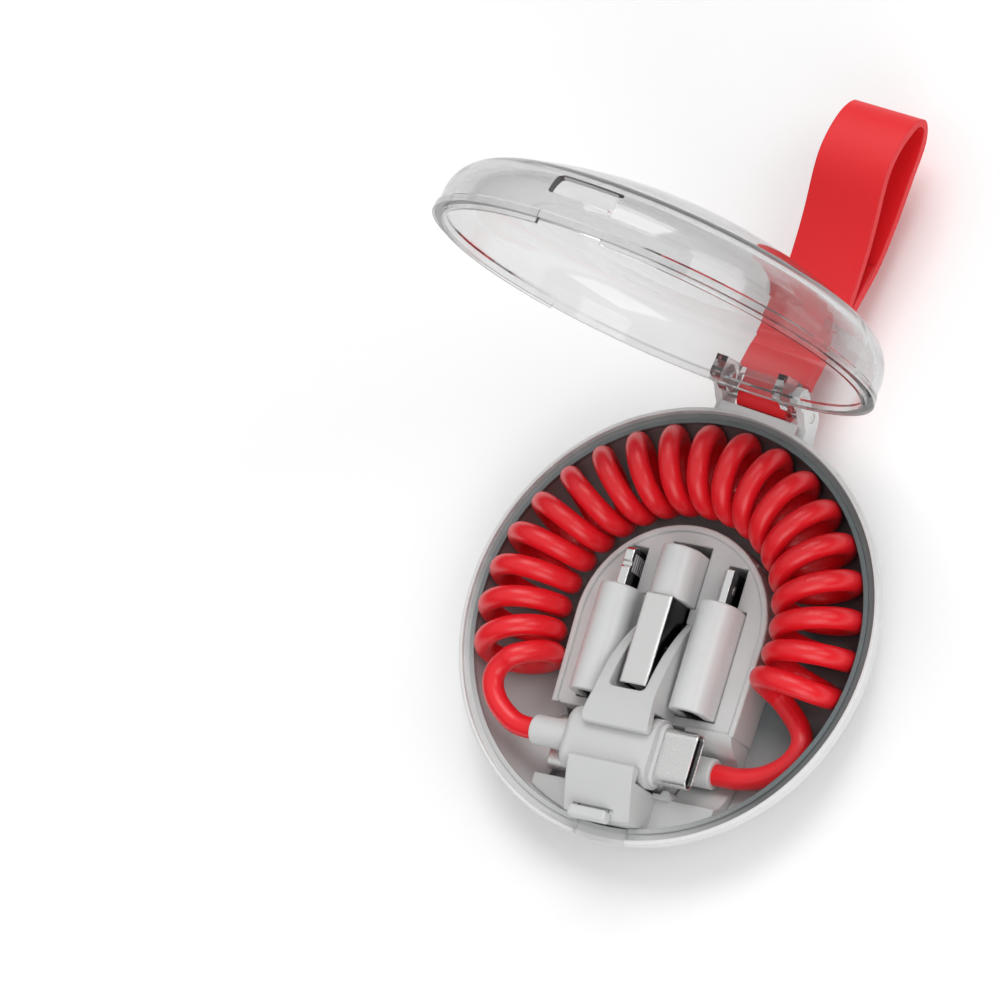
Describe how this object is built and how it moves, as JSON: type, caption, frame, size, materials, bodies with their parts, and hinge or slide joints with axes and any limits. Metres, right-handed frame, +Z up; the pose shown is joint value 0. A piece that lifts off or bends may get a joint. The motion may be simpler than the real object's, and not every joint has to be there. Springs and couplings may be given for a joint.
{
  "type": "retractable charging cable",
  "caption": "Round lidded case holding a coiled charging cable with stacked plugs, clip-in plug adapters, a sliding latch and a wrist strap.",
  "frame": {"origin": "centre of the base shell's flat bottom, on the table", "axes": "+Z up; +Y from the middle of the case towards the lid's hinge; +X to the right of +Y, along the hinge pins"},
  "size_m": [0.0666, 0.1153, 0.082],
  "materials": {
    "case_plastic": "satin light grey moulding",
    "pin_steel": "polished steel",
    "clear_plastic": "clear, polished",
    "strap_silicone": "matt red silicone",
    "cable_jacket": "satin red jacket",
    "plug_overmould": "satin light grey moulding",
    "plug_metal": "satin nickel",
    "black_liner": "black moulding",
    "white_liner": "white moulding",
    "contact_gold": "gold plated",
    "board_green": "solder mask",
    "adapter_body": "pearl grey paint"
  },
  "bodies": {
    "case": {"base_shell": "case_plastic", "cable_coil": "cable_jacket", "cable_lead_a": "cable_jacket", "cable_lead_b": "cable_jacket", "eight_blade": "plug_metal", "eight_board": "board_green", "eight_body": "adapter_body", "eight_pads": "contact_gold", "eight_socket": "plug_metal", "eight_socket_tongue": "black_liner", "hinge_pin_left": "pin_steel", "hinge_pin_right": "pin_steel", "micro_board": "board_green", "micro_body": "adapter_body", "micro_contacts": "contact_gold", "micro_core": "black_liner", "micro_shell": "plug_metal", "micro_socket": "plug_metal", "micro_socket_tongue": "black_liner", "plug_a_board": "board_green", "plug_a_body": "plug_overmould", "plug_a_contacts": "contact_gold", "plug_a_core": "black_liner", "plug_a_shell": "plug_metal", "plug_b_board": "board_green", "plug_b_body": "plug_overmould", "plug_b_contacts": "contact_gold", "plug_b_core": "black_liner", "plug_b_shell": "plug_metal", "strap_bar": "pin_steel", "tray": "case_plastic", "wide_body": "adapter_body", "wide_contacts": "contact_gold", "wide_core": "white_liner", "wide_shell": "plug_metal", "wide_socket": "plug_metal", "wide_socket_tongue": "black_liner"},
    "lid": {"lid": "clear_plastic"},
    "strap": {"strap": "strap_silicone"},
    "latch": {"latch_tab": "case_plastic"}
  },
  "joints": [
    {"name": "lid_hinge", "type": "hinge", "parent": "case", "child": "lid", "pos_m": [0, 0.03685, 0.0119], "axis": [1, 0, 0], "range_deg": [0, 90]},
    {"name": "strap_hinge", "type": "hinge", "parent": "case", "child": "strap", "pos_m": [0, 0.0355, 0.0084], "axis": [1, 0, 0], "range_deg": [-70, 4]},
    {"name": "latch_slide", "type": "slide", "parent": "case", "child": "latch", "axis": [-0.1478, 0.989, 0], "range_m": [0, 0.0004], "stiffness_N_per_m": 800, "springref_m": -0.0006}
  ]
}
